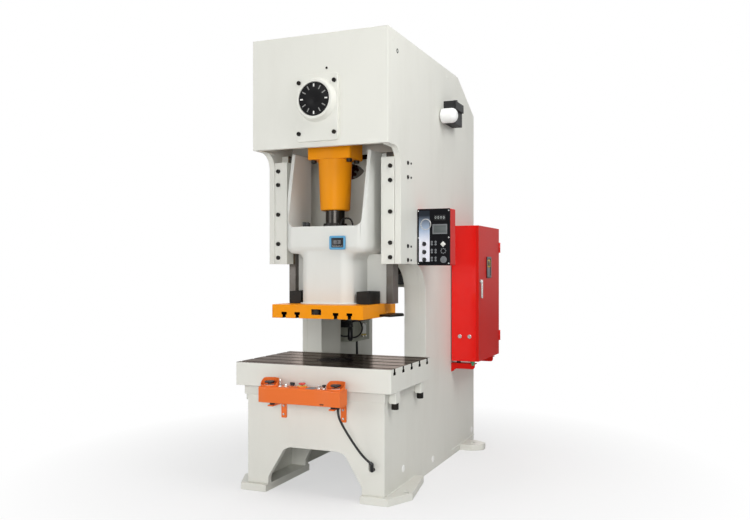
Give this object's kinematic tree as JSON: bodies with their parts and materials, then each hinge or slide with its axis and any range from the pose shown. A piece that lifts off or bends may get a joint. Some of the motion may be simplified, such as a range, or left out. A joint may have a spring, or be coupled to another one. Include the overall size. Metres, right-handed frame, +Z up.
{
  "type": "mechanical stamping press",
  "caption": "Gap-frame crank press with a guided slide, T-slotted bolster, two-hand station, control panel and side cabinet.",
  "frame": {"origin": "centre of the rectangle of the four floor anchor holes, at floor level", "axes": "+Z up, -Y towards the operator at the front, +X to the side with the control panel"},
  "size_m": [1.346, 2.057, 2.85],
  "materials": {
    "cream_paint": "gloss",
    "white_paint": "gloss",
    "orange_paint": "gloss",
    "deep_orange_paint": "satin",
    "red_paint": "gloss",
    "grey_paint": "satin",
    "black_steel": "blackened",
    "ground_steel": "ground",
    "machined_steel": "machined",
    "cast_iron": "machined",
    "bronze": "machined",
    "black_plastic": "gloss",
    "matte_black_plastic": "matte",
    "white_plastic": "satin",
    "blue_plastic": "satin",
    "red_plastic": "gloss",
    "rubber": "matte"
  },
  "bodies": {
    "frame": {"side_plates": "cream_paint", "head_front_plate": "cream_paint", "head_roof": "cream_paint", "inner_plates": "cream_paint", "rear_cover": "cream_paint", "columns": "cream_paint", "bed_plate": "cream_paint", "base_front_plate": "cream_paint", "base_webs": "cream_paint", "feet": "cream_paint", "front_gibs": "cream_paint", "gib_liners": "bronze", "bolster_plate": "ground_steel", "bolster_disc": "ground_steel", "bolster_lugs": "cream_paint", "dial_cover": "cream_paint", "frame_bolts": "black_steel", "shaft_bushes": "bronze", "drive_belts": "rubber", "motor": "grey_paint", "cabinet_shell": "red_paint", "cabinet_brackets": "red_paint", "rubber_mounts": "rubber", "control_panel": "red_paint", "panel_face": "black_plastic", "valve": "matte_black_plastic", "silencer": "white_plastic", "lubricator": "grey_paint", "station_box": "deep_orange_paint", "station_guards": "deep_orange_paint", "station_brackets": "deep_orange_paint", "cord_glands": "matte_black_plastic", "station_cord": "rubber"},
    "rod": {"conrod": "orange_paint", "conrod_cap": "orange_paint", "conrod_bush": "bronze", "conrod_bolts": "black_steel", "crank_pin": "machined_steel"},
    "slide": {"slide_body": "white_paint", "ball_seat": "bronze", "slide_plate": "orange_paint", "shank_screw": "black_steel", "oil_trays": "matte_black_plastic", "slide_counter": "blue_plastic"},
    "screw": {"ball_screw": "black_steel"},
    "crank": {"crankshaft": "machined_steel", "crank_gear": "machined_steel", "dial": "black_plastic"},
    "pinion": {"pinion_shaft": "machined_steel"},
    "wheel": {"flywheel": "cast_iron"},
    "pulley": {"motor_pulley": "cast_iron"},
    "door": {"cabinet_door": "red_paint"},
    "handle": {"door_handle": "machined_steel"},
    "palm_left": {"palm_button_left": "black_plastic"},
    "palm_right": {"palm_button_right": "black_plastic"},
    "stop": {"emergency_stop": "red_plastic"},
    "knob_station": {"station_selector": "matte_black_plastic"},
    "knob_upper": {"panel_selector_upper": "matte_black_plastic"},
    "knob_middle": {"panel_selector_middle": "matte_black_plastic"},
    "knob_lower": {"panel_selector_lower": "matte_black_plastic"}
  },
  "joints": [
    {"name": "slide_stroke", "type": "slide", "parent": "frame", "child": "rod", "axis": [0, 0, 1], "range_m": [0, 0.18]},
    {"name": "die_height_adjust", "type": "slide", "parent": "rod", "child": "slide", "axis": [0, 0, 1], "range_m": [0, 0.08]},
    {"name": "ball_screw_turn", "type": "hinge", "parent": "slide", "child": "screw", "pos_m": [0, -0.572, 1.45], "axis": [0, 0, 1], "range_deg": [0, 3600]},
    {"name": "crank_turn", "type": "hinge", "parent": "frame", "child": "crank", "pos_m": [0, -0.572, 2.435], "axis": [0, 1, 0], "range_deg": [0, 180]},
    {"name": "pinion_turn", "type": "hinge", "parent": "frame", "child": "pinion", "pos_m": [0, 0.2, 2.039], "axis": [0, 1, 0], "range_deg": [-810, 0]},
    {"name": "flywheel_spin", "type": "hinge", "parent": "frame", "child": "wheel", "pos_m": [0, 0.525, 2.039], "axis": [0, 1, 0], "continuous": true},
    {"name": "motor_spin", "type": "hinge", "parent": "frame", "child": "pulley", "pos_m": [0, 0.525, 1.42], "axis": [0, 1, 0], "continuous": true},
    {"name": "cabinet_door_swing", "type": "hinge", "parent": "frame", "child": "door", "pos_m": [0.688, 0.992, 1.2], "axis": [0, 0, 1], "range_deg": [0, 110]},
    {"name": "door_handle_turn", "type": "hinge", "parent": "door", "child": "handle", "pos_m": [0.684, 0.425, 1.3], "axis": [1, 0, 0], "range_deg": [0, 90]},
    {"name": "palm_press_left", "type": "slide", "parent": "frame", "child": "palm_left", "axis": [0, 0, -1], "range_m": [0, 0.005], "stiffness_N_per_m": 2000, "springref_m": -0.002},
    {"name": "palm_press_right", "type": "slide", "parent": "frame", "child": "palm_right", "axis": [0, 0, -1], "range_m": [0, 0.005], "stiffness_N_per_m": 2000, "springref_m": -0.002},
    {"name": "stop_press", "type": "slide", "parent": "frame", "child": "stop", "axis": [0, 0, -1], "range_m": [0, 0.004], "stiffness_N_per_m": 1200, "springref_m": -0.002},
    {"name": "station_select", "type": "hinge", "parent": "frame", "child": "knob_station", "pos_m": [-0.066, -1.01, 0.69], "axis": [0, 0, 1], "range_deg": [-45, 45]},
    {"name": "panel_select_upper", "type": "hinge", "parent": "frame", "child": "knob_upper", "pos_m": [0.521, -0.33, 1.555], "axis": [0, -1, 0], "range_deg": [-45, 45]},
    {"name": "panel_select_middle", "type": "hinge", "parent": "frame", "child": "knob_middle", "pos_m": [0.521, -0.33, 1.503], "axis": [0, -1, 0], "range_deg": [-45, 45]},
    {"name": "panel_select_lower", "type": "hinge", "parent": "frame", "child": "knob_lower", "pos_m": [0.521, -0.33, 1.453], "axis": [0, -1, 0], "range_deg": [-45, 45]}
  ],
  "couplings": [
    {"joint": "slide_stroke", "follows": "crank_turn", "m_per_rad": 0.057296},
    {"joint": "pinion_turn", "follows": "crank_turn", "ratio": -4.5},
    {"joint": "die_height_adjust", "follows": "ball_screw_turn", "m_per_rad": 0.0012732},
    {"joint": "motor_spin", "follows": "flywheel_spin", "ratio": 4.8}
  ]
}
